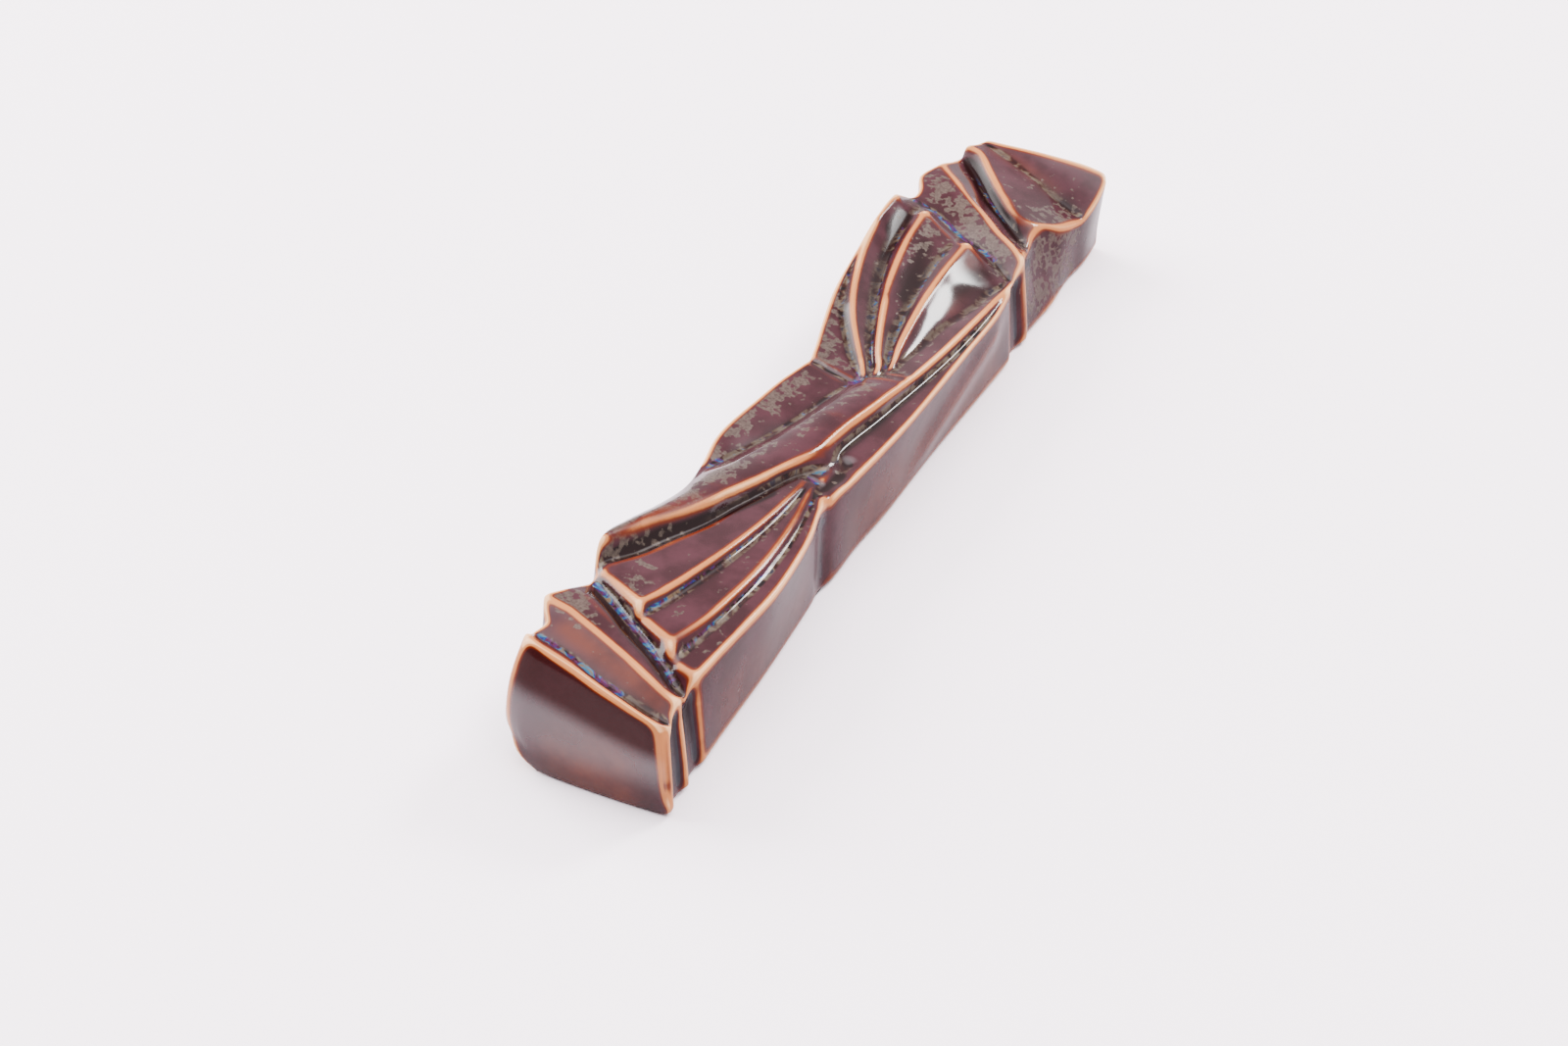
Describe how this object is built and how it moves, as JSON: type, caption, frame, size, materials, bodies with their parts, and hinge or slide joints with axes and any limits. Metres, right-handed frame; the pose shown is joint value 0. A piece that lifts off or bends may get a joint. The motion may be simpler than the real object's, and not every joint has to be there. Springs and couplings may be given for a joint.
{
  "type": "mezuzah case",
  "caption": "Long carved and glazed ceramic case with a flat back, a round chamber for a rolled parchment, an end stopper and tape pads.",
  "frame": {"origin": "on the surface that the case lies on, under the middle of its outline", "axes": "+Y along the case towards the loading end, +Z out of the carved front, away from the door post, +X across"},
  "size_m": [0.0298, 0.172, 0.0228],
  "materials": {
    "glaze": "gloss",
    "stopper_rubber": "satin",
    "parchment": "matte",
    "film": "gloss",
    "foam_tape": "matte",
    "liner_paper": "satin"
  },
  "bodies": {
    "case": {"case_shell": "glaze", "upper_pad": "foam_tape", "lower_pad": "foam_tape", "upper_liner": "liner_paper", "lower_liner": "liner_paper"},
    "plug": {"stopper": "stopper_rubber"},
    "roll": {"scroll": "parchment", "scroll_wrap": "film"}
  },
  "joints": [
    {"name": "stopper_slide", "type": "slide", "parent": "case", "child": "plug", "axis": [0, 1, 0], "range_m": [0, 0.16]},
    {"name": "roll_slide", "type": "slide", "parent": "case", "child": "roll", "axis": [0, 1, 0], "range_m": [0, 0.144]}
  ],
  "couplings": [
    {"joint": "roll_slide", "follows": "stopper_slide", "ratio": 0.9}
  ]
}
